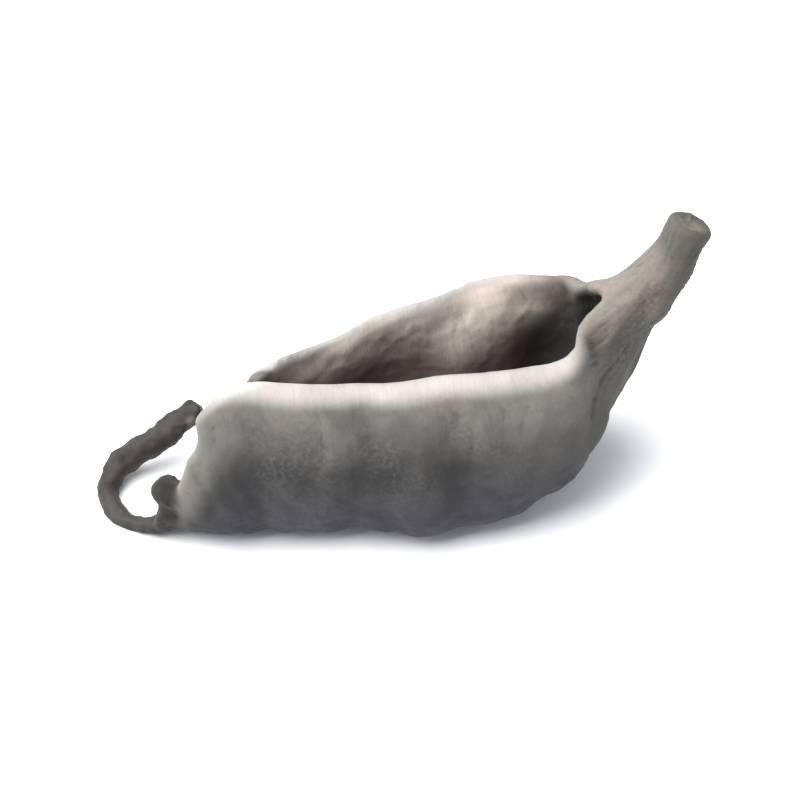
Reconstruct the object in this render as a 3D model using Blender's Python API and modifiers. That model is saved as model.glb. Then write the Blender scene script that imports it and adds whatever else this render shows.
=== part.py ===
"""One dried wood ear, as a single closed solid.

A wood ear grows as a thin leathery cup that is held to its log at one point. As it dries it folds along
its length and its margins roll inwards, so the cup becomes a small boat: a near wall and a far wall that
rise from one keel, and a neck where both walls close round the stub that held the ear to the wood.

Metres, +Z up. The keel runs along X from the torn tail (-X) to the stub (+X), and the far wall is on the
+Y side. The ear lies on z = 0.
"""

import math
from collections import namedtuple

import bpy
import numpy as np
from mathutils import Matrix, Vector, noise

MM = 0.001

# Flesh
FLESH = 1.15 * MM  # wall thickness away from the margin
MARGIN_SHARE = 0.7  # of that thickness, left at the margin
VOXEL = 0.28 * MM
SMOOTHING_ROUNDS = 5
TRIANGLES = 9400

# The flat patches that the ear lies on
FOOT_TRIM = 0.4 * MM

# Sheet before it is folded, in cells
CELLS_ALONG = 120
CELLS_ACROSS = 96
WALL_STEPS = 160

# Cross-sections
BELLY_SHARE = 0.4  # height of a wall's widest place, as a share of the height of its rim
LIP_RADIUS = 1.05  # mm
NEAR_SLANT = 1.3  # how late up the wall its edge starts to slant: 1 is even, more is later
FAR_SLANT = 0.7

# Each rib is one cross-section. keel is the middle of the flesh at the bottom in mm, and pitch tips the
# section back towards the tail in degrees. A wall rises from the keel through its widest place, belly mm
# out, to its rim, out mm out and up mm up. There it faces a direction in degrees (0 outwards, 90 up, 180
# inwards) and curls on by more degrees as the lip. back carries the rim towards the tail in mm.
Wall = namedtuple("Wall", "belly out up facing curl back")
Rib = namedtuple("Rib", "keel pitch near far")
RIBS = (
    Rib((-15.9, -2.3, 1.6), 0, Wall(2.2, 1.2, 9.2, 108, 10, -2.5), Wall(2.0, 1.6, 9.6, 96, 0, -5.7)),
    Rib((-13.0, -1.6, 0.8), 0, Wall(3.3, 1.6, 10.8, 110, 70, -1.3), Wall(2.8, 2.4, 10.0, 90, -15, -4.0)),
    Rib((-9.0, -0.8, 0.6), 0, Wall(4.2, 2.9, 10.8, 108, 130, -0.4), Wall(3.5, 3.5, 9.9, 82, -30, -2.6)),
    Rib((-4.6, -0.3, 0.6), 0, Wall(4.7, 3.3, 10.8, 108, 150, -0.2), Wall(4.2, 4.9, 10.1, 76, -35, -1.5)),
    Rib((-0.4, 0.0, 0.6), 0, Wall(4.8, 3.5, 10.9, 108, 155, 0.0), Wall(4.8, 6.0, 10.1, 72, -35, -0.6)),
    Rib((3.4, 0.3, 0.9), 0, Wall(4.6, 3.5, 10.7, 108, 150, 0.0), Wall(5.3, 6.8, 10.3, 70, -35, 0.0)),
    Rib((6.8, 0.8, 2.1), 0, Wall(3.9, 3.0, 9.4, 106, 130, -0.2), Wall(5.2, 6.6, 9.1, 74, -25, -0.3)),
    Rib((9.2, 1.5, 4.4), 12, Wall(3.0, 2.1, 7.6, 104, 90, -0.8), Wall(4.6, 5.2, 7.7, 90, 15, -1.2)),
    Rib((10.8, 2.3, 6.7), 26, Wall(2.2, 1.1, 6.2, 120, 50, -0.5), Wall(3.8, 3.4, 6.4, 110, 60, -1.4)),
    Rib((12.2, 3.1, 9.4), 42, Wall(1.6, 0.5, 4.4, 150, 20, 0.0), Wall(2.2, 1.6, 4.6, 140, 40, -0.4)),
    Rib((13.4, 3.9, 12.2), 55, Wall(1.2, 0.0, 2.7, 180, 0, 0.0), Wall(1.2, 0.0, 2.7, 180, 0, 0.0)),
    Rib((14.9, 4.9, 15.3), 58, Wall(0.8, 0.0, 1.7, 180, 0, 0.0), Wall(0.8, 0.0, 1.7, 180, 0, 0.0)),
)

# A crease runs straight over one wall between two places. Each place is (rib, height): the rib's number,
# from 0 at the tail, and the share of the wall's width from keel (0) to margin (1). Depth and breadth are
# in mm, and a negative depth makes a rounded fold outwards.
Crease = namedtuple("Crease", "wall start end depth breadth")
CREASES = (
    Crease("near", (3.0, 0.15), (3.1, 0.85), 0.38, 0.7),
    Crease("near", (3.9, 0.30), (3.9, 0.80), -0.28, 1.3),
    Crease("near", (4.6, 0.25), (4.5, 0.85), 0.22, 0.6),
    Crease("near", (1.9, 0.10), (1.5, 0.80), 0.30, 0.9),
    Crease("near", (6.6, 0.60), (5.4, 0.10), 0.25, 0.8),
    Crease("near", (10.4, 0.50), (7.4, 0.52), 0.42, 0.6),
    Crease("near", (9.6, 0.28), (6.0, 0.15), 0.85, 0.7),
    Crease("near", (9.7, 0.08), (7.3, 0.05), 0.60, 0.6),
    Crease("near", (5.5, 0.02), (1.0, 0.05), 0.25, 0.6),
    Crease("far", (2.2, 0.22), (1.7, 0.80), 0.80, 0.9),
    Crease("far", (3.3, 0.32), (3.2, 0.75), -0.60, 1.1),
    Crease("far", (4.7, 0.22), (4.4, 0.66), 1.10, 0.8),
    Crease("far", (5.9, 0.30), (5.7, 0.80), -0.60, 1.2),
    Crease("far", (6.9, 0.36), (7.2, 0.92), 0.70, 0.7),
    Crease("far", (10.0, 0.44), (6.0, 0.36), 1.10, 0.7),
    Crease("far", (9.6, 0.20), (5.2, 0.16), 1.00, 0.7),
    Crease("far", (3.6, 0.48), (0.6, 0.26), 0.70, 0.8),
)
LIP_STARTS = 0.8  # height from which the lip follows the creases sideways instead of along its own curl

# The margins ripple: the depth of the waves in mm, their length in mm, and the direction they move in
RIPPLE_DEPTHS = {"near": 0.7, "far": 1.6}
RIPPLE_LENGTH = 4.2
RIPPLE_WAY = (0.0, 0.67, -0.74)

# The torn edge at the tail: the depth of its notches in mm, and the share of the length that they reach
TORN_DEPTH = 1.1
TORN_REACH = 0.14

# The surface is never even: (size of the swellings in mm, how far they move the flesh in mm)
SWELLINGS = ((7.0, 0.35), (3.0, 0.16))

# A strip torn from the tail hangs from a knob, follows the torn edge down and curls round beside it:
# points in mm and the share of its full size at each
STRIP = (
    ((-15.3, -3.9, 4.7), 0.6),
    ((-15.6, -4.1, 3.4), 0.7),
    ((-15.8, -3.9, 2.1), 0.8),
    ((-16.2, -3.5, 1.2), 0.8),
    ((-16.9, -3.2, 0.9), 0.65),
    ((-18.0, -2.9, 0.8), 0.75),
    ((-19.05, -2.1, 0.8), 0.7),
    ((-19.4, -0.7, 0.9), 0.85),
    ((-19.3, 0.2, 1.25), 0.75),
    ((-18.4, 1.2, 1.8), 1.0),
    ((-17.0, 1.75, 2.4), 0.9),
    ((-15.75, 2.3, 3.0), 1.05),
    ((-14.5, 2.95, 3.7), 0.8),
    ((-13.8, 3.25, 4.1), 0.95),
)
STRIP_WIDTH = 2.0 * MM
STRIP_THICKNESS = 1.6 * MM
KNOB = ((-15.5, -3.75, 4.7), 1.1)

# The stub that held the ear to the wood
STUB_START = (13.2, 4.3, 13.7)
STUB_END = (14.9, 5.5, 17.3)
STUB_RADIUS = 1.3
SCAR_RING = 0.45  # half-thickness of the ring round the scar


def through(values, share):
    """A smooth curve through evenly spaced values, read at share 0 to 1 of its length."""
    values = np.asarray(values, float)
    last = len(values) - 1
    place = np.clip(share, 0.0, 1.0) * last
    start = np.minimum(np.asarray(place).astype(int), last - 1)
    t = place - start
    if values.ndim > 1:
        t = np.asarray(t)[..., None]
    before, after = np.maximum(start - 1, 0), np.minimum(start + 2, last)
    p0, p1, p2, p3 = (values[i] for i in (before, start, start + 1, after))
    rise = 2 * p0 - 5 * p1 + 4 * p2 - p3
    bend = 3 * p1 - p0 - 3 * p2 + p3
    return 0.5 * (2 * p1 + (p2 - p0) * t + rise * t**2 + bend * t**3)


def bezier(points, t):
    """The cubic curve with these two ends and two handles."""
    a, b, c, d = (np.asarray(p, float) for p in points)
    t = t[:, None]
    return a * (1 - t) ** 3 + 3 * b * t * (1 - t) ** 2 + 3 * c * t**2 * (1 - t) + d * t**3


def wall_profile(wall, heights):
    """Points out and up from the keel, at the given shares of the wall's width from keel to margin."""
    belly = np.array((wall.belly, BELLY_SHARE * wall.up))
    rim = np.array((wall.out, wall.up))
    facing = math.radians(wall.facing)
    end = np.array((math.cos(facing), math.sin(facing)))
    t = np.linspace(0.0, 1.0, WALL_STEPS)
    reach = 0.42 * np.linalg.norm(rim - belly)
    low = bezier(((0, 0), (0.7 * belly[0], 0), (belly[0], 0.36 * belly[1]), belly), t)
    high = bezier((belly, belly + (0, reach), rim - end * reach, rim), t)
    turned = facing + math.radians(wall.curl) * t
    radius = LIP_RADIUS * (1.0 - 0.25 * t)
    step = radius * math.radians(wall.curl) / WALL_STEPS
    lip = rim + np.cumsum(np.stack((np.cos(turned), np.sin(turned)), axis=1) * step[:, None], axis=0)
    line = np.concatenate((low, high[1:], lip))
    length = np.concatenate(((0.0,), np.cumsum(np.linalg.norm(np.diff(line, axis=0), axis=1))))
    share = length / length[-1]
    return np.stack([np.interp(heights, share, line[:, k]) for k in range(2)], axis=1)


def rib_at(share):
    """The cross-section at a share of the ear's length, between the named ribs."""
    walls = {}
    for side in ("near", "far"):
        table = [tuple(map(float, getattr(rib, side))) for rib in RIBS]
        walls[side] = Wall(*through(table, share))
    keel = through([rib.keel for rib in RIBS], share)
    pitch = float(through([float(rib.pitch) for rib in RIBS], share))
    return Rib(keel, pitch, walls["near"], walls["far"])


def fold(columns, rows):
    """The folded ear as a table of points in mm: columns run tail to stub, rows near to far margin."""
    heights = np.abs(rows)
    sense = np.where(rows > 0, 1.0, -1.0)
    table = np.zeros((len(columns), len(rows), 3))
    for index, share in enumerate(columns):
        rib = rib_at(share)
        pitch = math.radians(rib.pitch)
        up = np.array((-math.sin(pitch), 0.0, math.cos(pitch)))
        for side, wall in ((-1.0, rib.near), (1.0, rib.far)):
            on_wall = sense == side
            profile = wall_profile(wall, heights[on_wall])
            place = rib.keel + profile[:, 1:] * up
            place[:, 1] += side * profile[:, 0]
            slant = NEAR_SLANT if side < 0 else FAR_SLANT
            place[:, 0] -= wall.back * np.clip(profile[:, 1] / wall.up, 0.0, 2.0) ** slant
            table[index, on_wall] = place
    return table


def spot(table, rib, height, side):
    """The point of the folded table at a rib number and a height on one wall."""
    last_column, last_row = table.shape[0] - 1, table.shape[1] - 1
    column = rib / (len(RIBS) - 1) * last_column
    row = (side * height + 1.0) / 2.0 * last_row
    return table[int(round(column)), int(round(row))]


def wall_normals(table, rows):
    """The direction into the hollow at every point of the folded table."""
    inward = np.cross(np.gradient(table, axis=0), np.gradient(table, axis=1))
    inward /= np.maximum(np.linalg.norm(inward, axis=2), 1e-9)[..., None]
    kept = np.clip(rows, -LIP_STARTS, LIP_STARTS)
    source = np.rint((kept + 1.0) / 2.0 * (len(rows) - 1)).astype(int)
    return inward[:, source]


def rippled(table, rows):
    """How far the ripple moves each point of the folded table."""
    depths = np.where(rows > 0, RIPPLE_DEPTHS["far"], RIPPLE_DEPTHS["near"]) * np.abs(rows) ** 4
    waves = np.zeros(table.shape[:2])
    for column, row in np.ndindex(waves.shape):
        place = Vector((table[column, row, 0] / RIPPLE_LENGTH, 5.0 * np.sign(rows[row]), 0.0))
        waves[column, row] = noise.noise(place) * depths[row]
    return waves[..., None] * np.array(RIPPLE_WAY)


def torn(table, rows):
    """How far the notches of the torn edge move each point of the folded table along the ear."""
    reach = np.clip(1.0 - np.linspace(0.0, 1.0, table.shape[0]) / TORN_REACH, 0.0, 1.0) ** 2
    notches = np.array([noise.noise(Vector((4.5 * row, 2.0, 7.0))) for row in rows]) * TORN_DEPTH
    shift = np.zeros(table.shape)
    shift[..., 0] = reach[:, None] * notches
    return shift


def creased(table, rows):
    """Pushes the creases and the swellings into the walls of the folded table."""
    sense = np.where(rows > 0, 1.0, -1.0)[None, :]
    dent = np.zeros(table.shape[:2])
    for crease in CREASES:
        side = 1.0 if crease.wall == "far" else -1.0
        distance = np.full(table.shape[:2], 1e9)
        for t in np.linspace(0.0, 1.0, 30):
            rib, height = (a + (b - a) * t for a, b in zip(crease.start, crease.end))
            away = np.linalg.norm(table - spot(table, rib, height, side), axis=2)
            distance = np.minimum(distance, away)
        dent += (sense == side) * crease.depth * np.exp(-((distance / crease.breadth) ** 2))
    shifted = table + wall_normals(table, rows) * dent[..., None]
    shifted += rippled(table, rows) + torn(table, rows)
    for size, reach in SWELLINGS:
        push = [noise.noise_vector(Vector(point) / size) for point in table.reshape(-1, 3)]
        shifted += np.array(push).reshape(table.shape) * reach
    return shifted


def clear_scene():
    """Leaves an empty scene."""
    for obj in list(bpy.data.objects):
        bpy.data.objects.remove(obj)


def new_collection(name):
    collection = bpy.data.collections.new(name)
    bpy.context.scene.collection.children.link(collection)
    return collection


def take_active(name, collection):
    obj = bpy.context.active_object
    for old in list(obj.users_collection):
        old.objects.unlink(obj)
    collection.objects.link(obj)
    obj.name = name
    return obj


def make_sheet(collection):
    """The flat ear, folded into a boat and thickened."""
    bpy.ops.mesh.primitive_grid_add(x_subdivisions=CELLS_ALONG, y_subdivisions=CELLS_ACROSS, size=2.0)
    sheet = take_active("ear", collection)
    flat = np.array([v.co for v in sheet.data.vertices])
    columns = np.linspace(0.0, 1.0, CELLS_ALONG + 1)
    rows = np.linspace(-1.0, 1.0, CELLS_ACROSS + 1)
    table = creased(fold(columns, rows), rows) * MM
    column = np.rint((flat[:, 0] + 1.0) / 2.0 * CELLS_ALONG).astype(int)
    row = np.rint((flat[:, 1] + 1.0) / 2.0 * CELLS_ACROSS).astype(int)
    sheet.data.vertices.foreach_set("co", table[column, row].astype(np.float32).ravel())
    sheet.data.update()
    group = sheet.vertex_groups.new(name="flesh")
    for index, height in enumerate(np.abs(flat[:, 1])):
        group.add([index], float(1.0 - (1.0 - MARGIN_SHARE) * height**4), "REPLACE")
    solidify = sheet.modifiers.new("flesh", "SOLIDIFY")
    solidify.thickness = FLESH
    solidify.offset = 0.0
    solidify.vertex_group = "flesh"
    apply_modifiers(sheet)
    return sheet


def make_strip(collection):
    """The torn strip, swept along a curve and tapering."""
    data = bpy.data.curves.new("strip", "CURVE")
    data.dimensions = "3D"
    data.resolution_u = 6
    data.bevel_depth = STRIP_THICKNESS / 2
    data.extrude = STRIP_WIDTH / 2 - data.bevel_depth
    data.bevel_resolution = 4
    data.use_fill_caps = True
    spline = data.splines.new("NURBS")
    spline.points.add(len(STRIP) - 1)
    for point, (place, radius) in zip(spline.points, STRIP):
        point.co = (*(Vector(place) * MM), 1.0)
        point.radius = radius
    spline.order_u = 4
    spline.use_endpoint_u = True
    strip = bpy.data.objects.new("strip", data)
    collection.objects.link(strip)
    select_only([strip])
    bpy.ops.object.convert(target="MESH")
    return bpy.context.active_object


def make_knob(collection):
    """The thickened corner that the strip tore away from."""
    place, radius = KNOB
    bpy.ops.mesh.primitive_ico_sphere_add(subdivisions=3, radius=radius * MM, location=Vector(place) * MM)
    return take_active("knob", collection)


def make_stub(collection):
    """A short round stub with a ring round its scar."""
    start, end = Vector(STUB_START) * MM, Vector(STUB_END) * MM
    turn = (end - start).to_track_quat("Z", "Y").to_euler()
    length = (end - start).length
    bpy.ops.mesh.primitive_cylinder_add(
        vertices=32, radius=STUB_RADIUS * MM, depth=length, location=(start + end) / 2, rotation=turn
    )
    stem = take_active("stub", collection)
    bpy.ops.mesh.primitive_torus_add(
        major_segments=32,
        minor_segments=12,
        major_radius=(STUB_RADIUS - 0.6 * SCAR_RING) * MM,
        minor_radius=SCAR_RING * MM,
        location=end,
        rotation=turn,
    )
    ring = take_active("ring", collection)
    select_only([ring, stem])
    bpy.ops.object.join()
    return bpy.context.active_object


def select_only(objects):
    bpy.ops.object.select_all(action="DESELECT")
    for obj in objects:
        obj.select_set(True)
    bpy.context.view_layer.objects.active = objects[-1]


def apply_modifiers(obj):
    select_only([obj])
    for modifier in list(obj.modifiers):
        bpy.ops.object.modifier_apply(modifier=modifier.name)


def fuse(pieces):
    """One skin round all the flesh, softened."""
    select_only(pieces)
    bpy.ops.object.join()
    ear = bpy.context.active_object
    bpy.ops.object.transform_apply(location=True, rotation=True, scale=True)
    remesh = ear.modifiers.new("one_flesh", "REMESH")
    remesh.mode = "VOXEL"
    remesh.voxel_size = VOXEL
    smooth = ear.modifiers.new("soften", "SMOOTH")
    smooth.factor = 0.5
    smooth.iterations = SMOOTHING_ROUNDS
    apply_modifiers(ear)
    return ear


def settle(ear):
    """Centres the ear and sinks it by the depth of the flat patches."""
    places = np.array([v.co for v in ear.data.vertices])
    low, high = places.min(axis=0), places.max(axis=0)
    shift = -(low + high) / 2.0
    shift[2] = -low[2] - FOOT_TRIM
    ear.data.transform(Matrix.Translation(Vector(shift)))


def lighten(ear):
    """Fewer, larger facets, triangles throughout."""
    count = sum(len(face.vertices) - 2 for face in ear.data.polygons)
    decimate = ear.modifiers.new("facets", "DECIMATE")
    decimate.ratio = TRIANGLES / count
    apply_modifiers(ear)


def trim_foot(ear, cutters):
    """Cuts the undersides that touch the ground flat."""
    bpy.ops.mesh.primitive_cube_add(size=1.0, location=(0.0, 0.0, -5.0 * MM))
    cutter = take_active("ground", cutters)
    cutter.dimensions = (60 * MM, 40 * MM, 10 * MM)
    bpy.ops.object.transform_apply(location=True, rotation=True, scale=True)
    cutter.hide_render = True
    cutter.display_type = "WIRE"
    trim = ear.modifiers.new("foot", "BOOLEAN")
    trim.object = cutter
    trim.operation = "DIFFERENCE"
    trim.solver = "EXACT"


def dried_flesh():
    """Dull grey-brown flesh."""
    material = bpy.data.materials.new("dried_flesh")
    material.use_nodes = True
    shader = material.node_tree.nodes["Principled BSDF"]
    shader.inputs["Base Color"].default_value = (0.15, 0.13, 0.115, 1.0)
    shader.inputs["Roughness"].default_value = 0.82
    return material


def main():
    clear_scene()
    ear_collection = new_collection("dried_wood_ear")
    cutters = new_collection("cutters")
    pieces = [make_strip(ear_collection), make_knob(ear_collection), make_stub(ear_collection)]
    ear = fuse(pieces + [make_sheet(ear_collection)])
    settle(ear)
    lighten(ear)
    trim_foot(ear, cutters)
    ear.name = "ear"
    ear.data.name = "ear"
    ear.data.materials.clear()
    ear.data.materials.append(dried_flesh())


main()
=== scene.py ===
# %% [markdown]
# A dried wood ear, dressed.
# The solid of the ear comes in as a fixed frame: one body, one node, in metres, lying on z = 0.
# It has the folds that show from a step away. What it lacks is skin: the fine pleats that drying leaves,
# the colours of the grey outside and the wine-brown hollow, and the paler margin, with painted light and
# shade.
# Everything below is built round that solid and stays inside its size.

# %% The frame
import math

import bpy
import numpy as np
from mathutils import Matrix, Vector, noise
from mathutils.bvhtree import BVHTree
from mathutils.kdtree import KDTree


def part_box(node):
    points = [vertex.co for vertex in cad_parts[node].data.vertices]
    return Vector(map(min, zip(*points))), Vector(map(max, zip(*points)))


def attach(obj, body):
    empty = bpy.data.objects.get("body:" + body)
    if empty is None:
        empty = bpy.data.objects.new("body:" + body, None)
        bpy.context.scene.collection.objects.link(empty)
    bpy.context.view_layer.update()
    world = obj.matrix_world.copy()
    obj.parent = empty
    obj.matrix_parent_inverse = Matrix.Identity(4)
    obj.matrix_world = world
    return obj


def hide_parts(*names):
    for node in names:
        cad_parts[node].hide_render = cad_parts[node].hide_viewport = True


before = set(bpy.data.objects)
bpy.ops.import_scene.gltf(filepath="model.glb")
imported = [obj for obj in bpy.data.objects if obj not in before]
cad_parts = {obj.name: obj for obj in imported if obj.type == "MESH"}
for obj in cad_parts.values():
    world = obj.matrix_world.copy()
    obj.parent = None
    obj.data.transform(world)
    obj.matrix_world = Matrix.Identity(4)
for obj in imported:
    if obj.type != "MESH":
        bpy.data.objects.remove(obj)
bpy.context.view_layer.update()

MM = 0.001
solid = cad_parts["ear"]
low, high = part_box("ear")
solid_size = [round((b - a) / MM, 1) for a, b in zip(low, high)]
print("solid", solid_size, "mm,", len(solid.data.polygons), "faces")


# %% [markdown]
# ## Camera
# The ear is seen from the side of its near wall and from well above, so that the outside of the near wall
# and the inside of the far one both show. It is a small thing seen from afar: a long lens keeps its walls
# from spreading.

# %% Camera
ELEVATION = math.radians(48.0)
LENS = 200.0
DISTANCE = 0.262
AIM = Vector((0.0, 0.0, 0.0068))
CLIP_START = 0.01


def add_camera():
    """A camera at the front, looking down on the ear."""
    back = Vector((0.0, -math.cos(ELEVATION), math.sin(ELEVATION)))
    place = AIM + back * DISTANCE
    bpy.ops.object.camera_add(location=place, rotation=(math.pi / 2 - ELEVATION, 0.0, 0.0))
    camera = bpy.context.active_object
    camera.name = "camera"
    camera.data.lens = LENS
    camera.data.clip_start = CLIP_START
    bpy.context.scene.camera = camera
    return camera


camera = add_camera()
print("camera at", [round(c, 3) for c in camera.location])


# %% [markdown]
# ## The skin
# The real ear is one sheet of flesh about a millimetre thick. Its surface could be a displaced copy of the
# solid's own facets, but those are too coarse for pleats of half a millimetre. So a copy of the solid is
# merged, given an even mesh of small squares by a voxel remesh, and softened until the facets are gone.

# %% Helpers for objects
def select_only(objects):
    """Makes these the only selected objects and the last one active."""
    bpy.ops.object.select_all(action="DESELECT")
    for obj in objects:
        obj.select_set(True)
    bpy.context.view_layer.objects.active = objects[-1]


def apply_all(obj):
    """Applies the modifiers of one object, first to last."""
    select_only([obj])
    for modifier in list(obj.modifiers):
        bpy.ops.object.modifier_apply(modifier=modifier.name)


print("helpers for objects ready")


# %% Skin
SKIN_VOXEL = 0.165 * MM
SKIN_SOFTENING = 5
SOFTENING_SHARE = 0.5
DOUBLES = 0.001 * MM


def make_skin(source):
    """An even, fine mesh over the solid."""
    skin = source.copy()
    skin.data = source.data.copy()
    skin.parent = None
    skin.name = skin.data.name = "ear_skin"
    # The tags that tie the solid to its body stay with the solid.
    for key in list(skin.keys()):
        del skin[key]
    bpy.context.scene.collection.objects.link(skin)
    select_only([skin])
    bpy.ops.object.mode_set(mode="EDIT")
    bpy.ops.mesh.select_all(action="SELECT")
    bpy.ops.mesh.remove_doubles(threshold=DOUBLES)
    bpy.ops.object.mode_set(mode="OBJECT")
    remesh = skin.modifiers.new("even_mesh", "REMESH")
    remesh.mode = "VOXEL"
    remesh.voxel_size = SKIN_VOXEL
    soften = skin.modifiers.new("soften", "SMOOTH")
    soften.factor = SOFTENING_SHARE
    soften.iterations = SKIN_SOFTENING
    apply_all(skin)
    skin.data.materials.clear()
    return skin


ear = make_skin(solid)
print("skin:", len(ear.data.vertices), "points,", len(ear.data.polygons), "faces")


# %% [markdown]
# ## Finding the way round the ear
# Pleats follow the growth of the ear: they run from the keel up each wall, and along the neck where the
# flesh was gathered. A pattern on plain object coordinates would ignore that. A UV map would need a seam.
# Instead a line is laid through the hollow and on up the neck, and every point of the skin is measured
# against it: how far along it lies, which way round, and whether it faces away from the line (the outside
# of the cup) or towards it (the inside). Tables of points hold millimetres from here on.

# %% The line through the hollow
HOLLOW_LINE = (
    (-18.0, -3.2, 4.6),
    (-12.0, -2.2, 5.2),
    (-6.0, -1.2, 5.7),
    (0.0, -0.4, 6.0),
    (5.0, 0.2, 6.4),
    (9.0, 0.8, 7.8),
    (11.4, 1.5, 9.4),
    (12.9, 2.2, 11.0),
    (14.6, 3.1, 13.2),
    (16.9, 4.6, 17.2),
    (17.5, 5.0, 18.5),
)
LINE_STEPS = 240


def smooth_through(points, count):
    """Points evenly spaced in number along a smooth curve through a few places."""
    points = np.array(points, float)
    last = len(points) - 1
    place = np.linspace(0.0, last, count)
    start = np.minimum(place.astype(int), last - 1)
    t = (place - start)[:, None]
    a, b, c, d = (points[np.clip(start + k, 0, last)] for k in (-1, 0, 1, 2))
    return 0.5 * (2 * b + (c - a) * t + (2 * a - 5 * b + 4 * c - d) * t**2 + (3 * b - a - 3 * c + d) * t**3)


def read_points(obj):
    """The points of a mesh as a table, in mm."""
    table = np.empty(len(obj.data.vertices) * 3, np.float32)
    obj.data.vertices.foreach_get("co", table)
    return table.reshape(-1, 3).astype(float) / MM


def read_normals(obj):
    """The direction out of the flesh at each point."""
    table = np.empty(len(obj.data.vertices) * 3, np.float32)
    obj.data.vertex_normals.foreach_get("vector", table)
    return table.reshape(-1, 3).astype(float)


def write_points(obj, table):
    """Puts the points back, from mm."""
    obj.data.vertices.foreach_set("co", (table * MM).astype(np.float32).ravel())
    obj.data.update()


line = smooth_through(HOLLOW_LINE, LINE_STEPS)
tangent = np.gradient(line, axis=0)
tangent /= np.linalg.norm(tangent, axis=1)[:, None]
line_length = np.concatenate(((0.0,), np.cumsum(np.linalg.norm(np.diff(line, axis=0), axis=1))))
print("line through the hollow:", round(line_length[-1], 1), "mm")


# %% Along, round and facing
def measure_against_line(points, normals):
    """For each point: mm along the line, the unit direction away from it, and how far it faces outwards."""
    tree = KDTree(len(line))
    for index, place in enumerate(line):
        tree.insert(place, index)
    tree.balance()
    nearest = np.array([tree.find(p)[1] for p in points])
    away = points - line[nearest]
    place_along = line_length[nearest] + (away * tangent[nearest]).sum(axis=1)
    away /= np.maximum(np.linalg.norm(away, axis=1), 1e-6)[:, None]
    facing = (away * normals).sum(axis=1)
    return np.clip(place_along, 0.0, line_length[-1]), away, facing


points = read_points(ear)
normals = read_normals(ear)
along, away, facing = measure_against_line(points, normals)
along_ends = round(along.min(), 1), round(along.max(), 1)
print("along", along_ends, "mm; share that faces out", round((facing > 0).mean(), 2))


# %% Averages over the mesh
edge_ends = np.empty(len(ear.data.edges) * 2, np.int32)
ear.data.edges.foreach_get("vertices", edge_ends)
edge_ends = edge_ends.reshape(-1, 2)
neighbours = np.bincount(edge_ends.ravel(), minlength=len(points)).astype(float)


def spread(values, rounds):
    """Averages values with their neighbours over the mesh, round after round."""
    values = np.asarray(values, float)
    flat = values.reshape(len(points), -1)
    for _ in range(rounds):
        total = np.empty_like(flat)
        for k in range(flat.shape[1]):
            column = flat[:, k]
            there = np.bincount(edge_ends[:, 0], column[edge_ends[:, 1]], len(points))
            back = np.bincount(edge_ends[:, 1], column[edge_ends[:, 0]], len(points))
            total[:, k] = (there + back) / neighbours
        flat = 0.5 * flat + 0.5 * total
    return flat.reshape(values.shape)


def bulge(places, directions, rounds):
    """How far each point stands out of the average round it, in mm."""
    return ((places - spread(places, rounds)) * directions).sum(axis=1)


def between(values, start, end):
    """0 at start and before it, 1 at end and past it, eased at both. Start may be the larger."""
    t = np.clip((values - start) / (end - start), 0.0, 1.0)
    return t * t * (3.0 - 2.0 * t)


print("averages over", len(edge_ends), "edges,", round(neighbours.mean(), 1), "neighbours a point")


# %% Depth below the rims
RIM_STEP = 0.8
RIM_BLUR = (0.25, 0.5, 0.25)
EMPTY = -1e9
DEPTH_ROUNDS = 8


def depth_below_rim(places, line_place, near_side):
    """How far each point lies below the top of its own wall, near or far, in mm."""
    bins = (line_place / RIM_STEP).astype(int)
    middles = (np.arange(bins.max() + 1) + 0.5) * RIM_STEP
    depth = np.zeros(len(places))
    for side in (near_side, ~near_side):
        tops = np.full(len(middles), EMPTY)
        np.maximum.at(tops, bins[side], places[side, 2])
        filled = tops > EMPTY
        tops = np.interp(middles, middles[filled], tops[filled])
        tops = np.convolve(np.pad(tops, 1, mode="edge"), RIM_BLUR, "valid")
        depth[side] = np.interp(line_place[side], middles, tops) - places[side, 2]
    return depth


sideways = np.cross(tangent, (0.0, 0.0, 1.0))
sideways /= np.linalg.norm(sideways, axis=1)[:, None]
upward = np.cross(sideways, tangent)
step = np.clip(np.searchsorted(line_length, along), 0, LINE_STEPS - 1)
to_near_side = (away * sideways[step]).sum(axis=1)
depth = spread(depth_below_rim(points, along, to_near_side > 0.0), DEPTH_ROUNDS)
print("depth below the rims", [round(v, 1) for v in np.percentile(depth, (1, 50, 99))], "mm")


# %% Inside, outside and neck
FACING_SOFT = 0.25
NECK_FROM = 28.5
NECK_TO = 32.0

cup = spread(between(-facing, -FACING_SOFT, FACING_SOFT), 6)
neck = between(along, NECK_FROM, NECK_TO)
inside = cup * (1.0 - neck)
outside = (1.0 - inside) * (1.0 - neck)
print("inside of the cup:", round(inside.mean(), 2), "of the skin; neck:", round(neck.mean(), 2))


# %% [markdown]
# ## Pleats and veins
# Fresh flesh is smooth. It shrinks to a fraction of its thickness as it dries, and the skin gathers: soft
# narrow pleats up the outside, a network of low veins inside, cords along the neck. They could be a bump in
# the material alone, but then they would never catch the light along the rim. So the larger ones are moved
# points, at most a fifth of a millimetre, and only the finest grain is left to the material. The pattern
# is smooth noise stretched along the growth, read on the coordinates found above.

# %% Pattern coordinates
RING = 4.0
WANDER_GRAIN = (5.0, 5.0, 5.0)
WANDER_SEEDS = (3.0, 7.0, 11.0)
SWAY = (1.3, 1.0, 1.0)


def pattern(places, grain, octaves=3, seed=0.0):
    """Noise over a table of places, stretched by the grain in mm."""
    shift = np.array((seed, seed * 0.7, -seed * 1.3))
    table = places / np.array(grain) + shift
    return np.array([noise.fractal(Vector(place), 1.0, 2.1, octaves) for place in table])


def cords(places, grain, octaves=2, seed=0.0):
    """Rounded cords with sharp valleys between them, 0 in the valleys."""
    return np.abs(pattern(places, grain, octaves, seed))


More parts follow.
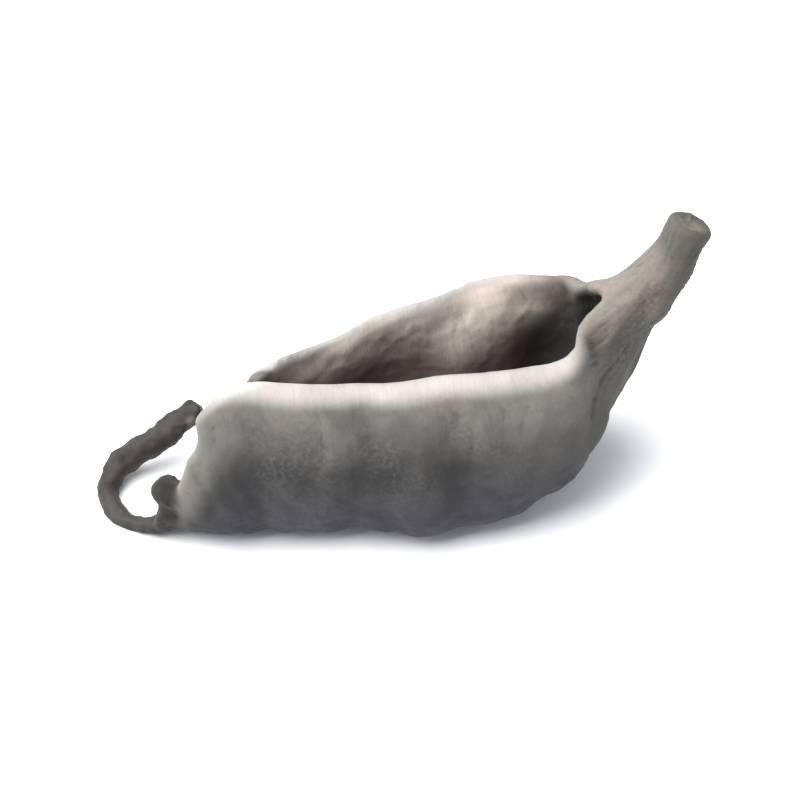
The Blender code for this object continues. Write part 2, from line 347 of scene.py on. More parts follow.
round_x = to_near_side * RING
round_y = (away * upward[step]).sum(axis=1) * RING
growth = spread(np.stack((along, round_x, round_y), axis=1), 3)
wander = np.stack([pattern(points, WANDER_GRAIN, 2, seed) for seed in WANDER_SEEDS], axis=1)
swayed = growth + wander * np.array(SWAY)
print("pattern coordinates over", [round(v, 1) for v in growth.max(axis=0) - growth.min(axis=0)], "mm")


# %% Where the stub, the strip and the knob are
STUB_TIP = np.array((16.8, 4.45, 17.02))
STUB_WAY = np.array((1.7, 1.2, 3.6)) / np.linalg.norm((1.7, 1.2, 3.6))
STRIP_LINE = np.array((
    (-13.7, -5.15, 3.12),
    (-13.9, -4.95, 1.82),
    (-15.0, -4.25, 0.62),
    (-16.1, -3.95, 0.52),
    (-17.15, -3.15, 0.52),
    (-17.5, -1.75, 0.62),
    (-16.5, 0.15, 1.52),
    (-15.1, 0.7, 2.12),
    (-13.85, 1.25, 2.72),
    (-11.9, 2.2, 3.82),
))
STRIP_WIDTH = (1.35, 0.95)
STRIP_TAIL_END = -12.6
STRIP_FREE_END = 1.4
KNOB_PLACE = np.array((-13.6, -4.8, 4.42))
KNOB_WIDTH = (1.7, 1.1)


def distance_to(places, spot):
    """How far each place is from one spot, in mm."""
    return np.linalg.norm(places - spot, axis=1)


def distance_to_line(places, route):
    """How far each place is from a route of straight stretches."""
    nearest = np.full(len(places), np.inf)
    for start, end in zip(route[:-1], route[1:]):
        way = end - start
        t = np.clip(((places - start) @ way) / (way @ way), 0.0, 1.0)
        nearest = np.minimum(nearest, distance_to(places, start + t[:, None] * way))
    return nearest


strip_near = between(distance_to_line(points, STRIP_LINE), *STRIP_WIDTH)
strip_near *= (points[:, 0] < STRIP_TAIL_END) | (points[:, 1] > STRIP_FREE_END)
torn = spread(np.maximum(strip_near, between(distance_to(points, KNOB_PLACE), *KNOB_WIDTH)), 4)
print("torn strip and knob:", round(torn.mean(), 3), "of the skin")


# %% Patterns of the wrinkles
CORD_MEAN = 0.3
VEIN_SHARPNESS = 3.2

# Each grain is in mm: along the growth, then twice round it.
pleats = cords(swayed, (2.2, 7.0, 7.0), seed=1.0) - CORD_MEAN
fine_pleats = cords(swayed, (0.62, 2.0, 2.0), seed=21.0) - CORD_MEAN
crackle = cords(points + wander * 0.5, (1.1, 1.1, 1.1), seed=5.0) - CORD_MEAN
neck_cords = cords(swayed, (8.0, 1.0, 1.0), seed=13.0) - CORD_MEAN
neck_threads = cords(swayed, (5.0, 0.42, 0.42), 1, 15.0) - CORD_MEAN
veins = 1.0 - np.clip(cords(swayed, (2.2, 2.2, 2.2), seed=9.0) * VEIN_SHARPNESS, 0.0, 1.0)
shrunk = between(pattern(points, (4.0, 4.0, 4.0), 2, 31.0), -0.15, 0.35)
lumps = pattern(points, (1.7, 1.7, 1.7), seed=17.0)
knots = pattern(points, (1.3, 1.3, 1.3), seed=41.0) - 0.4 * cords(points, (1.0, 1.0, 1.0), seed=43.0)
print("pleats from", round(pleats.min(), 2), "to", round(pleats.max(), 2))


# %% Depths of the wrinkles, in mm
PLEAT_DEPTH = 0.24
INNER_PLEAT_DEPTH = 0.036
FINE_PLEAT_DEPTH = 0.02
CRACKLE_DEPTH = 0.035
VEIN_HEIGHT = 0.05
CORD_DEPTH = 0.20
THREAD_DEPTH = 0.05
LUMP_DEPTH = 0.08
KNOT_DEPTH = 0.22
PLUMP_SHARE = 0.2
VEIN_POWER = 1.5
VEIN_MEAN = 0.25
ROLL = (0.05, 0.16)
ROLL_DEPTH = (1.6, 0.5)
ROLL_CALM = 0.8
ROLL_LUMP_CALM = 0.7

relief = outside * (PLEAT_DEPTH * pleats + FINE_PLEAT_DEPTH * fine_pleats * (PLUMP_SHARE + shrunk))
relief += outside * CRACKLE_DEPTH * crackle * shrunk
relief += inside * (VEIN_HEIGHT * (veins**VEIN_POWER - VEIN_MEAN) + INNER_PLEAT_DEPTH * pleats)
relief += neck * (CORD_DEPTH * neck_cords + THREAD_DEPTH * neck_threads)
rolled = spread(between(bulge(points, normals, 40), *ROLL), 12)
rolled = np.maximum(rolled, between(depth, *ROLL_DEPTH) * (1.0 - neck))
relief *= 1.0 - ROLL_CALM * rolled
relief += LUMP_DEPTH * lumps * (1.0 - ROLL_LUMP_CALM * rolled)
relief = relief * (1.0 - torn) + torn * KNOT_DEPTH * knots
print("relief from", round(relief.min(), 2), "to", round(relief.max(), 2), "mm")


# %% [markdown]
# ## Moving the points
# Each point moves along its own direction out of the flesh. The relief is held to its limit and fades out
# at the foot, so that the ear still lies on the table where its solid does. Two places of the solid are
# calmed as well: the bottom of the hollow, where the solid's facets would still catch the light, and one
# sharp bump of the far rim beside the neck.

# %% Moving the points
RELIEF_LIMIT = 0.20
FOOT = 0.35
CALM_SHARE = 0.9
CALM_DEPTH = (1.0, 2.4)
CALM_ROUNDS = 160
RIM_BUMP = np.array((11.4, 5.2, 12.3))
RIM_BUMP_WIDTH = (1.9, 0.8)

relief = np.clip(relief, -RELIEF_LIMIT, RELIEF_LIMIT) * between(points[:, 2], 0.0, FOOT)
calm = CALM_SHARE * inside * between(depth, *CALM_DEPTH)
calm = np.maximum(calm, between(distance_to(points, RIM_BUMP), *RIM_BUMP_WIDTH))[:, None]
moved = points * (1.0 - calm) + spread(points, CALM_ROUNDS) * calm + normals * relief[:, None]
moved[:, 2] = np.maximum(moved[:, 2], 0.0)
moved = np.clip(moved, np.array(low) / MM, np.array(high) / MM)
write_points(ear, moved)
select_only([ear])
bpy.ops.object.shade_smooth()
print("moved", len(moved), "points, at most", round(distance_to(moved, points).max(), 2), "mm")


# %% [markdown]
# ## Where the colour changes
# Colour on the real ear follows the flesh: grey outside, browner inside, rubbed on the crests. The far
# wall's inside goes from pale at the top to wine-brown at the bottom. Painted shade is laid over it: darker
# down the outside, dark in the valleys, broad dips and sheltered places, black in the crevice by the neck.
# A painted highlight lies on the rolled margin and on the lit side of the neck. It could be painted by hand
# on the mesh. Here each of these is measured, or placed by where it lies on the ear, and kept on the points
# as a mask, so that the material reads the same from every side.

# %% Measuring crests and hollows
CREST_ROUNDS = 6
EDGE_ROUNDS = 40

points = read_points(ear)
normals = read_normals(ear)
x, y = points[:, 0], points[:, 1]
crest = bulge(points, normals, CREST_ROUNDS)
edge = bulge(points, normals, EDGE_ROUNDS)
print("crest", [round(v, 3) for v in np.percentile(crest, (2, 50, 98))])
print("edge", [round(v, 3) for v in np.percentile(edge, (2, 50, 98))])


# %% Measuring shelter, for painted shade
RAYS = 24
RAY_TURNS = 7
RAY_LIFT = 0.02 * MM
OCCLUSION_REACH = 6.0 * MM
LOSS_AT_REACH = 0.6


def occlusion_shade_of(obj, places, directions):
    """The share of rays out of each point that meet the ear again, nearer ones counting more."""
    tree = BVHTree.FromObject(obj, bpy.context.evaluated_depsgraph_get())
    golden = math.pi * (3.0 - math.sqrt(5.0))
    shares = np.zeros(len(places))
    for index, (place, normal) in enumerate(zip(places, directions)):
        normal = Vector(normal)
        start = Vector(place) * MM + normal * RAY_LIFT
        turn = normal.to_track_quat("Z", "Y")
        for ray in range(RAYS):
            height = math.sqrt((ray + 0.5) / RAYS)
            flat = math.sqrt(1.0 - height * height)
            angle = golden * (ray + index % RAY_TURNS)
            direction = turn @ Vector((flat * math.cos(angle), flat * math.sin(angle), height))
            distance = tree.ray_cast(start, direction, OCCLUSION_REACH)[3]
            if distance is not None:
                shares[index] += 1.0 - LOSS_AT_REACH * distance / OCCLUSION_REACH
    return shares / RAYS


# Painted shade: the more of its rays meet the ear again, the darker a point is made.
occlusion_shade = spread(occlusion_shade_of(ear, points, normals), 4)
print("occlusion_shade", [round(v, 2) for v in np.percentile(occlusion_shade, (5, 50, 95))])


# %% The end of the stub
# The scar is the pale middle of the stub's end, where the ear broke off its wood. The tip is the dark ring.
STUB_END_WIDTH = (4.5, 3.0)
SCAR_WIDTH = (1.0, 0.55)
SCAR_LENGTH = (1.2, 0.5)
TIP_LENGTH = (2.6, 1.2)

below_tip = (STUB_TIP - points) @ STUB_WAY
off_axis = distance_to(points + below_tip[:, None] * STUB_WAY, STUB_TIP)
stub_end = between(distance_to(points, STUB_TIP), *STUB_END_WIDTH)
scar = stub_end * between(off_axis, *SCAR_WIDTH) * between(below_tip, *SCAR_LENGTH)
tip = stub_end * between(below_tip, *TIP_LENGTH) * (1.0 - scar)
print("scar", round(scar.mean(), 4), "and tip", round(tip.mean(), 4), "of the skin")


# %% The margins, with a painted highlight
# A margin is partly where the edge is round and partly a band below the rim: a paler margin with a painted
# highlight on it. It fades on the far wall.
ROUND_RANGE = (0.05, 0.7)
ROUND_DEPTH = (0.9, 0.2)
ROUND_SHARE = 0.35
BAND_DEPTH = (0.7, -0.1)
TAIL_END = (-9.5, -12.5)
FAR_SIDE = (0.3, -0.3)
FAR_SIDE_LOSS = 0.4

# Painted highlight, with some real paleness: the rolled edge and the band below the rim.
rolled_edge_highlight = between(spread(between(edge, *ROLL), 16), *ROUND_RANGE) * between(depth, *ROUND_DEPTH)
pale_margin_and_highlight = ROUND_SHARE * rolled_edge_highlight + (1.0 - ROUND_SHARE) * between(depth, *BAND_DEPTH)
pale_margin_and_highlight *= (1.0 - neck) * (1.0 - torn) * (1.0 - between(x, *TAIL_END))
far_side = between(to_near_side, *FAR_SIDE)
pale_margin_and_highlight *= 1.0 - FAR_SIDE_LOSS * far_side
print("margins", round(pale_margin_and_highlight.mean(), 3), "of the skin")


# %% Pale places and painted shade of the hollow
# The far wall's inside is open to the light. The crevice is the dark fold beside the neck, painted nearly
# black as shade, with a ragged border that leans with depth. The swell is the soft bulge between them,
# darkened as painted shade.
FAR_INSIDE = (-12.0, -6.0)
CREVICE_SHADE_SPAN = (7.8, 10.6)
CREVICE_WANDER = 1.6
CREVICE_LEAN = 0.45
CREVICE_LEAN_TO = 5.0
CREVICE_TOP = (0.3, 1.2)
CREVICE_THROUGH = (8.6, 9.6)
SWELL_EDGE = (-0.02, 0.03)
SWELL_DEPTH = (1.8, 3.0)

far_inside = cup * far_side * between(x, *FAR_INSIDE)
ragged = x + CREVICE_WANDER * wander[:, 0] + CREVICE_LEAN * np.minimum(depth, CREVICE_LEAN_TO)
slot = np.maximum(between(depth, *CREVICE_TOP), between(x, *CREVICE_THROUGH))
# Painted shade: the crevice beside the neck.
crevice_shade = cup * between(ragged, *CREVICE_SHADE_SPAN) * slot
# Painted shade: the soft bulge in the hollow is darkened where it catches the light.
swell_shade = cup * between(edge, *SWELL_EDGE) * between(depth, *SWELL_DEPTH)
print("crevice_shade", round(crevice_shade.mean(), 3), "and swell", round(swell_shade.mean(), 3), "of the skin")


# %% Pale and dark places of the outside, and the painted lit side of the neck
# The flap is the dark edge of the far wall at the tail. The dips are the broad hollows between the folds,
# darkened as painted shade.
TAIL_PALE = (-7.5, -12.5)
TAIL_PALE_DEPTH = (6.0, 2.0)
NECK_END_PALE = (3.0, 9.0)
NECK_END_PALE_DEPTH = (9.0, 3.0)
NECK_END_SHARE = 0.5
FLAP_ALONG = (-6.5, -9.0)
FLAP_ACROSS = (-0.6, 0.6)
FOLD_SHADE_EDGE = (0.02, 0.12)
FOLD_SHADE_LOSS_INSIDE = 0.85
LIT_SIDE_WAY = np.array((-0.906, 0.019, 0.423))
LIT_SIDE_FACING = (-0.35, 0.75)
LIT_SIDE_BELOW_TIP = (1.5, 6.5)
LIT_SIDE_AT_TIP = 0.45

ends_pale = between(x, *TAIL_PALE) * between(depth, *TAIL_PALE_DEPTH)
ends_pale += NECK_END_SHARE * between(x, *NECK_END_PALE) * between(depth, *NECK_END_PALE_DEPTH)
flap = between(x, *FLAP_ALONG) * between(y, *FLAP_ACROSS) * (1.0 - torn)
# Painted shade: the broad hollows between the folds are darkened.
fold_shade = between(-edge, *FOLD_SHADE_EDGE) * (1.0 - FOLD_SHADE_LOSS_INSIDE * cup)
# Painted light: the neck is paler on the side that faces up and to the left, towards the light.
neck_lit_side = spread(between(normals @ LIT_SIDE_WAY, *LIT_SIDE_FACING), 14)
neck_lit_side *= LIT_SIDE_AT_TIP + (1.0 - LIT_SIDE_AT_TIP) * between(below_tip, *LIT_SIDE_BELOW_TIP)
print("pale ends", round(ends_pale.mean(), 3), "and flap", round(flap.mean(), 3), "of the skin")


# %% Keeping the masks on the mesh
def put(obj, name, values):
    """Keeps one number, or three, on each point of the mesh."""
    values = np.asarray(values, np.float32)
    kind, key = ("FLOAT_VECTOR", "vector") if values.ndim == 2 else ("FLOAT", "value")
    layer = obj.data.attributes.new(name, kind, "POINT")
    layer.data.foreach_set(key, values.ravel())


masks = dict(inside=inside, neck=neck, crest=crest, pale_margin_and_highlight=pale_margin_and_highlight, occlusion_shade=occlusion_shade, scar=scar, tip=tip,
             torn=torn, neck_lit_side=neck_lit_side, flap=flap, fold_shade=fold_shade, depth=depth, crevice_shade=crevice_shade,
             far_inside=far_inside, ends_pale=ends_pale, swell_shade=swell_shade)
put(ear, "growth", growth)
for name, values in masks.items():
    put(ear, name, values)
print("masks", {name: round(float(np.mean(values)), 3) for name, values in masks.items()})


# %% [markdown]
# ## Small tools for node trees
# The effects of the skin, such as the grain and the rubbed crests, are kept as node groups. A group gives
# out a mask or a height, and the shader itself stays in the material. A few short functions add the nodes,
# so that each effect reads as what it does.

# %% Node helpers
VALUE = "NodeSocketFloat"
PLACE = "NodeSocketVector"


def tone(red, green, blue):
    """A colour as a screen shows it, 0 to 255, made linear."""
    def channel(value):
        value /= 255.0
        return value / 12.92 if value <= 0.04045 else ((value + 0.055) / 1.055) ** 2.4
    return (channel(red), channel(green), channel(blue), 1.0)


def feed(tree, socket, value):
    """Sets a socket by value, or joins it to another node's output."""
    if isinstance(value, bpy.types.NodeSocket):
        tree.links.new(value, socket)
    else:
        socket.default_value = value


def add(tree, kind, name, **inputs):
    """A node with its sockets fed by name, or as i0, i1 and on by number."""
    made = tree.nodes.new(kind)
    made.name = made.label = name
    for key, value in inputs.items():
        by_number = key[0] == "i" and key[1:].isdigit()
        feed(tree, made.inputs[int(key[1:]) if by_number else key.replace("_", " ")], value)
    return made


def maths(tree, operation, a, b=0.0, c=0.0):
    """One sum."""
    made = add(tree, "ShaderNodeMath", operation.lower(), i0=a, i1=b, i2=c)
    made.operation = operation
    return made.outputs[0]


def times(tree, a, b):
    """Two values multiplied."""
    return maths(tree, "MULTIPLY", a, b)


def stretch(tree, value, start, end, low_end=0.0, high_end=1.0):
    """The value, eased from one range to another and held at its ends."""
    made = add(tree, "ShaderNodeMapRange", "stretch", i0=value, i1=start, i2=end, i3=low_end, i4=high_end)
    made.interpolation_type = "SMOOTHSTEP"
    return made.outputs[0]


def blend(tree, factor, first, second):
    """One colour laid over another."""
    made = tree.nodes.new("ShaderNodeMix")
    made.name = made.label = "blend"
    made.data_type = "RGBA"
    for index, value in ((0, factor), (6, first), (7, second)):
        feed(tree, made.inputs[index], value)
    return made.outputs[2]


def scaled(tree, vector, factors, name):
    """A place stretched along its three ways."""
    made = add(tree, "ShaderNodeVectorMath", name, i0=vector, i1=factors)
    made.operation = "MULTIPLY"
    return made.outputs[0]


def speckle(tree, vector, scale, detail=3.0, roughness=0.55, distortion=0.0):
    """Noise read at a place, in features a unit."""
    made = add(tree, "ShaderNodeTexNoise", "speckle", Vector=vector, Scale=scale, Detail=detail,
               Roughness=roughness, Distortion=distortion)
    return made.outputs[0]


def new_group(name, inputs, outputs):
    """A node group with its sockets, given as name and kind."""
    tree = bpy.data.node_groups.new(name, "ShaderNodeTree")
    for title, kind in inputs:
        tree.interface.new_socket(title, in_out="INPUT", socket_type=kind)
    for title, kind in outputs:
        tree.interface.new_socket(title, in_out="OUTPUT", socket_type=kind)
    entry = tree.nodes.new("NodeGroupInput")
    leave = tree.nodes.new("NodeGroupOutput")
    return tree, entry.outputs, leave.inputs


def use_group(tree, group, name, **inputs):
    """A group placed in a tree."""
    made = tree.nodes.new("ShaderNodeGroup")
    made.node_tree = group
    made.name = made.label = name
    for key, value in inputs.items():
        feed(tree, made.inputs[key], value)
    return made.outputs


print("node helpers ready")


# %% [markdown]
# ## Grain, velvet and rubbed crests
# Three effects make the dried skin. The grain is a fine crackle of creases that follows the growth. The
# velvet is a mat of short hairs, too fine to see one by one, which shows as soft pale mottling. The rub is
# where handling has worn the crests paler; the same group gives the valleys between them, darkened as
# painted shade. Each could be an image, but noise on the mesh's own coordinates stays sharp at any
# distance and has no seam. Growth is in mm and places are in metres, so their noises differ a thousandfold
# in scale.

# %% Grain group
FOLD_STRETCH = (2.4, 0.8, 0.8)
FIBRE_STRETCH = (5.0, 1.2, 1.2)
CRACKLE_SCALE = 5200.0
HAIR_SCALE = 26000.0
FOLD_SHARE = 1.2
CRACKLE_SHARE = 0.35
HAIR_SHARE = 0.22


def grain_group():
    """The height of the fine creases, and the fibres along the growth."""
    tree, given, out = new_group("skin_grain", [("Growth", PLACE), ("Place", PLACE)],
                                 [("Height", VALUE), ("Fibre", VALUE)])
    fold = speckle(tree, scaled(tree, given["Growth"], FOLD_STRETCH, "folds"), 1.0, 4.0, 0.55, 0.4)
    fold = maths(tree, "ABSOLUTE", maths(tree, "SUBTRACT", fold, 0.5))
    crackle = speckle(tree, given["Place"], CRACKLE_SCALE, 3.0, 0.55)
    hairs = speckle(tree, given["Place"], HAIR_SCALE, 2.0, 0.5)
    fibre = speckle(tree, scaled(tree, given["Growth"], FIBRE_STRETCH, "fibres"), 1.0, 3.0, 0.6, 0.6)
    coarse = maths(tree, "ADD", times(tree, fold, FOLD_SHARE), times(tree, crackle, CRACKLE_SHARE))
    tree.links.new(maths(tree, "ADD", coarse, times(tree, hairs, HAIR_SHARE)), out["Height"])
    tree.links.new(fibre, out["Fibre"])
    return tree


grain = grain_group()
print("group", grain.name)


# %% Crest group
BREAK_SCALE = 900.0
BREAK_DEPTH = 0.02
RUBBED_HEIGHT = 0.07
VALLEY_SHADE_DEPTH = -0.05


def crest_and_valley_shade_group():
    """Masks for the rubbed crests and the painted shade of the valleys, broken up by noise."""
    tree, given, out = new_group("rubbed_crests_and_valley_shade", [("Crest", VALUE), ("Place", PLACE)],
                                 [("Rubbed", VALUE), ("Valley_shade", VALUE)])
    broken = speckle(tree, given["Place"], BREAK_SCALE, 3.0, 0.6)
    broken = stretch(tree, broken, 0.3, 0.7, -BREAK_DEPTH, BREAK_DEPTH)
    raised = maths(tree, "ADD", given["Crest"], broken)
    tree.links.new(stretch(tree, raised, 0.0, RUBBED_HEIGHT), out["Rubbed"])
    # Painted shade: a dark mask for the valleys.
    tree.links.new(stretch(tree, raised, 0.0, VALLEY_SHADE_DEPTH), out["Valley_shade"])
    return tree


crests = crest_and_valley_shade_group()
print("group", crests.name)


# %% Dust group
PATCH_SCALE = 260.0
SPECK_SCALE = 3800.0


def dust_group():
    """Pale dust and hairs in soft patches."""
    tree, given, out = new_group("pale_dust", [("Place", PLACE), ("Amount", VALUE)], [("Dust", VALUE)])
    patches = stretch(tree, speckle(tree, given["Place"], PATCH_SCALE, 3.0, 0.55), 0.38, 0.68)
    specks = stretch(tree, speckle(tree, given["Place"], SPECK_SCALE, 2.0, 0.5), 0.42, 0.66)
    tree.links.new(times(tree, times(tree, patches, specks), given["Amount"]), out["Dust"])
    return tree


dust = dust_group()
print("group", dust.name)


# %% [markdown]
# ## The dried flesh
# One material covers the whole ear, because it is one flesh. It reads the masks kept on the mesh. The
# outside is a grey that goes slate-dark down the wall, in painted shade. The hollow is pale at the top of
# the far wall and goes wine-brown to its bottom, with painted shade towards the neck. The near margin is
# paler, with a painted highlight on its roll. The neck is painted paler on its lit side. The crevice is
# painted nearly black as shade, and the valleys, broad dips, sheltered places and the soft bulge in the
# hollow are darkened as painted shade. The torn strip is nearly black. Each tone is laid over the last one
# by its mask and share.

# %% Tones and shares
# Among the tones, painted shade: the outer middle and foot, the hollow's neck end, the neck's shaded side,
# the valleys, the sheltered places, the swell, the crevice and the dips. Painted highlight: the neck's lit
# side and part of the margin.
TONES = {
    "outer top": ((90, 88, 84), (108, 105, 99)),
    "outer middle": ((44, 43, 44), (60, 59, 58)),
    "outer foot": ((42, 42, 47), (57, 56, 62)),
    "ends_pale": (122, 120, 113),
    "inner bottom": ((62, 50, 49), (78, 66, 64)),
    "inner near": ((134, 126, 117), (152, 144, 134)),
    "inner far": ((188, 179, 168), (206, 197, 185)),
    "inner neck end shade": (78, 72, 66),
    "inner blotch": (176, 150, 146),
    "neck shaded side": (76, 73, 68),
    "neck lit side": (118, 112, 105),
    "neck pink": (132, 116, 111),
    "pale_margin_and_highlight": (190, 183, 178),
    "rubbed": (150, 144, 134),
    "valley_shade": (52, 46, 44),
    "occlusion_shade": (44, 36, 34),
    "swell_shade": (98, 89, 84),
    "crevice_shade": (22, 20, 18),
    "fold_shade": (46, 43, 43),
    "flap": (62, 58, 52),
    "dust": (196, 190, 178),
    "torn": ((14, 13, 12), (32, 30, 27)),
    "tip": (74, 73, 67),
    "scar": (124, 120, 108),
    "fibre": (52, 47, 45),
}
SHARES = {
    "ends_pale": 0.5, "inner neck end shade": 0.35, "inner blotch": 0.3, "neck pink": 0.6, "pale_margin_and_highlight": 0.9,
    "rubbed": 0.035, "valley_shade": 0.4, "occlusion_shade": 0.3, "swell_shade": 0.45, "crevice_shade": 0.95, "fold_shade": 0.35,
    "flap": 0.6, "dust": 1.0, "torn": 0.92, "tip": 0.8, "scar": 0.6, "fibre": 0.07,
}
print(len(TONES), "tones,", len(SHARES), "of them laid over by a share")


# %% Laying tones
def kept(tree, name):
    """A mask kept on the mesh, or the growth coordinates."""
    reader = tree.nodes.new("ShaderNodeAttribute")
    reader.attribute_name = reader.name = name
    return reader.outputs["Vector" if name == "growth" else "Fac"]


def toned(tree, mottle, name):
    """A tone of the flesh. One that is given twice wavers between the two with the mottle."""
    values = TONES[name]
    if isinstance(values[0], tuple):
        return blend(tree, mottle, tone(*values[0]), tone(*values[1]))
    return tone(*values)


def lay_over(tree, mottle, colour, name, mask):
    """A tone laid over a colour where its mask says, by its share."""
    return blend(tree, times(tree, mask, SHARES[name]), colour, toned(tree, mottle, name))


print("tones are laid over one another by mask and share")


# %% Colours of the outside, the hollow and the neck
OUTER_SHADE_FALL = (0.8, 5.0)
FOOT_SHADE_FALL = (4.5, 9.0)
INNER_RISE = (4.4, 1.4)
NECK_END_SHADE_SPAN = (0.003, 0.009)


def outside_colour_with_shade(tree, mottle, below):
    """Grey, going slate-dark down the wall in painted shade, paler at both ends."""
    top, middle, foot = (toned(tree, mottle, "outer " + level) for level in ("top", "middle", "foot"))
    # Painted shade: darker and bluer down the outside towards its foot.
    colour = blend(tree, stretch(tree, below, *OUTER_SHADE_FALL), top, middle)
    colour = blend(tree, stretch(tree, below, *FOOT_SHADE_FALL), colour, foot)
    return lay_over(tree, mottle, colour, "ends_pale", kept(tree, "ends_pale"))


def hollow_colour(tree, mottle, blotch, below, place):
    """Wine-brown at the bottom, pale at the top of the far wall, with painted shade towards the neck."""
    near, far = toned(tree, mottle, "inner near"), toned(tree, mottle, "inner far")
    top = blend(tree, kept(tree, "far_inside"), near, far)
    colour = blend(tree, stretch(tree, below, *INNER_RISE), toned(tree, mottle, "inner bottom"), top)
    across = add(tree, "ShaderNodeSeparateXYZ", "place in metres", i0=place).outputs["X"]
    # Painted shade towards the neck end of the hollow.
    colour = lay_over(tree, mottle, colour, "inner neck end shade", stretch(tree, across, *NECK_END_SHADE_SPAN))
    return lay_over(tree, mottle, colour, "inner blotch", blotch)


def neck_colour_lit_and_shaded(tree, mottle, blotch):
    """Grey in a lit and a shaded copy: painted paler on the side that faces the tail and the light, with
    pink blotches there.
    """
    # Painted light and shade: the lit side and the shaded side of the neck.
    pale = kept(tree, "neck_lit_side")
    colour = blend(tree, pale, toned(tree, mottle, "neck shaded side"), toned(tree, mottle, "neck lit side"))
    return lay_over(tree, mottle, colour, "neck pink", times(tree, blotch, pale))


print("three colours to mix")


# %% Flesh material
MOTTLE_SCALE = 300.0
BLOTCH_SCALE = 130.0
OCCLUSION_SHADE_RANGE = (0.25, 0.6)
# From 2 mm to 7 mm below the rim the dust thins from the first amount to the second.
DUST_FALL = (2.0, 7.0, 0.06, 0.015)
FIBRE_RANGE = (0.35, 0.65, 1.0, 0.0)
OUTER_ROUGHNESS = 0.92
INNER_ROUGHNESS = 0.62
SHEEN_WEIGHT = 0.06
SHEEN_ROUGHNESS = 0.5
SPECULAR_LEVEL = 0.2
BUMP_STRENGTH = 0.5
BUMP_DISTANCE = 0.1 * MM


def flesh_material():
    """The dried skin, from the masks on the mesh."""
    made = bpy.data.materials.new("dried_skin")
    made.use_nodes = True
    tree = made.node_tree
    shader = tree.nodes["Principled BSDF"]
    place = add(tree, "ShaderNodeTexCoord", "place").outputs["Object"]
    fine = use_group(tree, grain, "skin grain", Growth=kept(tree, "growth"), Place=place)
    rub_and_valley_shade = use_group(tree, crests, "rubbed crests", Crest=kept(tree, "crest"), Place=place)
    mottle = stretch(tree, speckle(tree, place, MOTTLE_SCALE, 4.0, 0.6, 0.5), 0.34, 0.66)
    blotch = stretch(tree, speckle(tree, place, BLOTCH_SCALE, 3.0, 0.5, 0.3), 0.36, 0.64)
    below = kept(tree, "depth")
    inner = kept(tree, "inside")
    dust_amount = stretch(tree, below, *DUST_FALL)

    colour = blend(tree, inner, outside_colour_with_shade(tree, mottle, below),
                   hollow_colour(tree, mottle, blotch, below, place))
    colour = blend(tree, kept(tree, "neck"), colour, neck_colour_lit_and_shaded(tree, mottle, blotch))
    # Laid over in turn: wear, dust and pigment, painted shade in the valleys, sheltered places, swell,
    # crevice and dips, and a painted highlight on the margin.
    layers = {
        "pale_margin_and_highlight": kept(tree, "pale_margin_and_highlight"),
        "rubbed": rub_and_valley_shade["Rubbed"],
        "valley_shade": rub_and_valley_shade["Valley_shade"],
        "occlusion_shade": stretch(tree, kept(tree, "occlusion_shade"), *OCCLUSION_SHADE_RANGE),
        "swell_shade": kept(tree, "swell_shade"),
        "crevice_shade": kept(tree, "crevice_shade"),
        "fold_shade": kept(tree, "fold_shade"),
        "flap": kept(tree, "flap"),
        "dust": use_group(tree, dust, "pale dust", Place=place, Amount=dust_amount)["Dust"],
        "torn": kept(tree, "torn"),
        "tip": kept(tree, "tip"),
        "scar": kept(tree, "scar"),
        "fibre": stretch(tree, fine["Fibre"], *FIBRE_RANGE),
    }
    for name, mask in layers.items():
        colour = lay_over(tree, mottle, colour, name, mask)
    tree.links.new(colour, shader.inputs["Base Color"])

    rough = stretch(tree, inner, 0.0, 1.0, OUTER_ROUGHNESS, INNER_ROUGHNESS)
    tree.links.new(rough, shader.inputs["Roughness"])
    shader.inputs["Sheen Weight"].default_value = SHEEN_WEIGHT
    shader.inputs["Sheen Roughness"].default_value = SHEEN_ROUGHNESS
    shader.inputs["Specular IOR Level"].default_value = SPECULAR_LEVEL
    raised = add(tree, "ShaderNodeBump", "grain bump", Height=fine["Height"], Strength=BUMP_STRENGTH,
                 Distance=BUMP_DISTANCE)
    tree.links.new(raised.outputs[0], shader.inputs["Normal"])
    return made


flesh = flesh_material()
ear.data.materials.append(flesh)
print("material", flesh.name, "with", len(flesh.node_tree.nodes), "nodes")


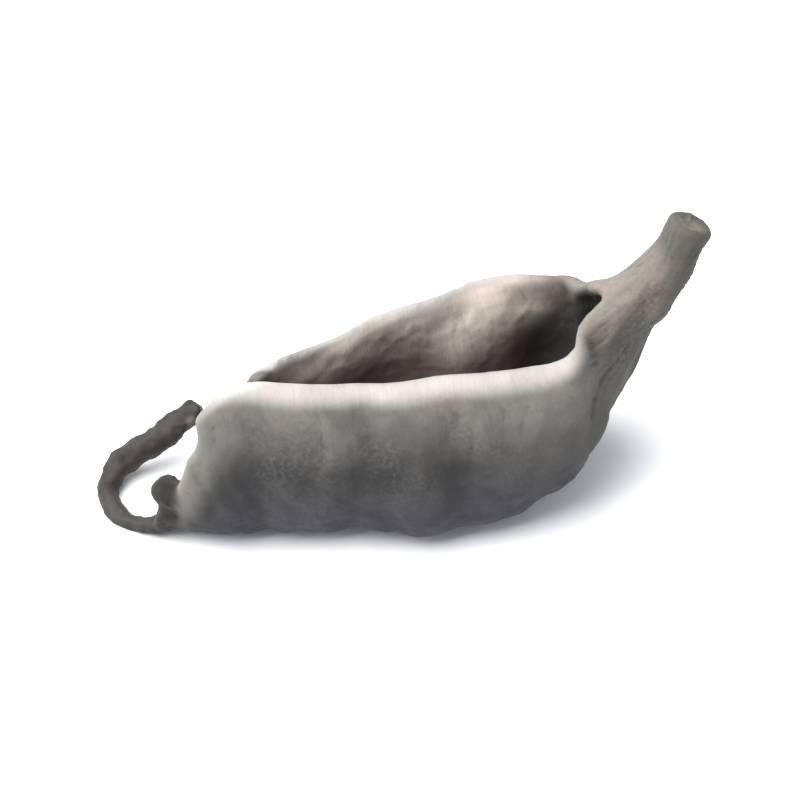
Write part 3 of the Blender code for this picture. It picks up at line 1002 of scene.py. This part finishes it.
# %% [markdown]
# ## Floor and light
# The ear lies on a plain near-white table. The light is one large soft source, high up to the left, as from
# a window, with pale light from everywhere else. It leaves a short soft shadow to the right.

# %% Floor
FLOOR_SIDE = 3.0
FLOOR_TONE = (236, 237, 240)
FLOOR_ROUGHNESS = 0.8


def add_floor():
    """A pale plane under the ear."""
    bpy.ops.object.select_all(action="DESELECT")
    bpy.ops.mesh.primitive_plane_add(size=FLOOR_SIDE, location=(0.0, 0.0, 0.0))
    floor = bpy.context.active_object
    floor.name = "floor"
    made = bpy.data.materials.new("pale_floor")
    made.use_nodes = True
    shader = made.node_tree.nodes["Principled BSDF"]
    shader.inputs["Base Color"].default_value = tone(*FLOOR_TONE)
    shader.inputs["Roughness"].default_value = FLOOR_ROUGHNESS
    floor.data.materials.append(made)
    return floor


floor = add_floor()
print("floor", FLOOR_SIDE, "m")


# %% Light
WINDOW_PLACE = (-0.30, -0.03, 0.60)
WINDOW_SIDE = 0.7
WINDOW_POWER = 13.5
WINDOW_COLOUR = (1.0, 0.99, 0.97)
ROOM_COLOUR = (0.93, 0.96, 1.0, 1.0)
ROOM_STRENGTH = 0.72


def add_window(place, side, power, colour):
    """A square soft light turned to the middle of the table."""
    bpy.ops.object.light_add(type="AREA", location=place)
    light = bpy.context.active_object
    light.name = "window"
    light.data.shape = "SQUARE"
    light.data.size = side
    light.data.energy = power
    light.data.color = colour
    light.rotation_euler = (-Vector(place)).to_track_quat("-Z", "Y").to_euler()
    return light


def add_room(colour, strength):
    """Even light from all round."""
    room = bpy.data.worlds.new("room")
    room.use_nodes = True
    background = room.node_tree.nodes["Background"]
    background.inputs["Color"].default_value = colour
    background.inputs["Strength"].default_value = strength
    bpy.context.scene.world = room
    return room


window = add_window(WINDOW_PLACE, WINDOW_SIDE, WINDOW_POWER, WINDOW_COLOUR)
room = add_room(ROOM_COLOUR, ROOM_STRENGTH)
bpy.context.scene.view_settings.view_transform = "Standard"
print("lights:", window.name, "and", room.name)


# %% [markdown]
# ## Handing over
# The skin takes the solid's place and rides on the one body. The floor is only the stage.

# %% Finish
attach(ear, "root")
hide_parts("ear")
